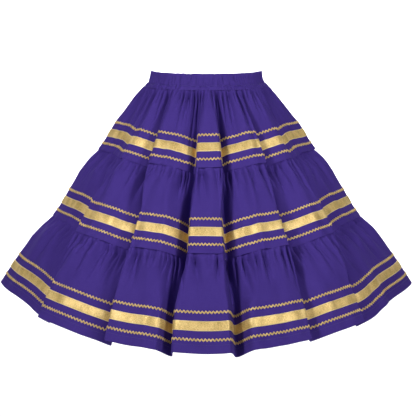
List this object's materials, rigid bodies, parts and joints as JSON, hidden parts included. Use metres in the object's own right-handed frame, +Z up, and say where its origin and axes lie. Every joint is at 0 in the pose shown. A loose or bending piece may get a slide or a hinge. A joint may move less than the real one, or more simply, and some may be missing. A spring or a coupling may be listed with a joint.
{
  "type": "square dance skirt",
  "caption": "Three-tier gathered dance skirt with an elastic waistband and gold ribbon and rickrack on each tier, open at waist and hem.",
  "frame": {"origin": "centre of the waist opening, level with the waistband's top edge at the front and sides (the edge dips 17 mm at the middle of the back), where the wearer's waist holds the skirt", "axes": "+Z up out of the waist opening, -Y to the skirt's front, +X to the right of someone who looks at the front"},
  "size_m": [0.8976, 0.7648, 0.5197],
  "materials": {
    "purple_cloth": "plain-weave broadcloth with a faint sheen",
    "gold_ribbon": "woven metallic ribbon, brushed look",
    "gold_rickrack": "braided metallic rickrack"
  },
  "bodies": {
    "root": {"waistband": "purple_cloth", "tier_1": "purple_cloth", "tier_2": "purple_cloth", "tier_3": "purple_cloth", "ribbon_1": "gold_ribbon", "ribbon_2": "gold_ribbon", "ribbon_3": "gold_ribbon", "rickrack_1_upper": "gold_rickrack", "rickrack_1_lower": "gold_rickrack", "rickrack_2_upper": "gold_rickrack", "rickrack_2_lower": "gold_rickrack", "rickrack_3_upper": "gold_rickrack", "rickrack_3_lower": "gold_rickrack"}
  },
  "joints": []
}
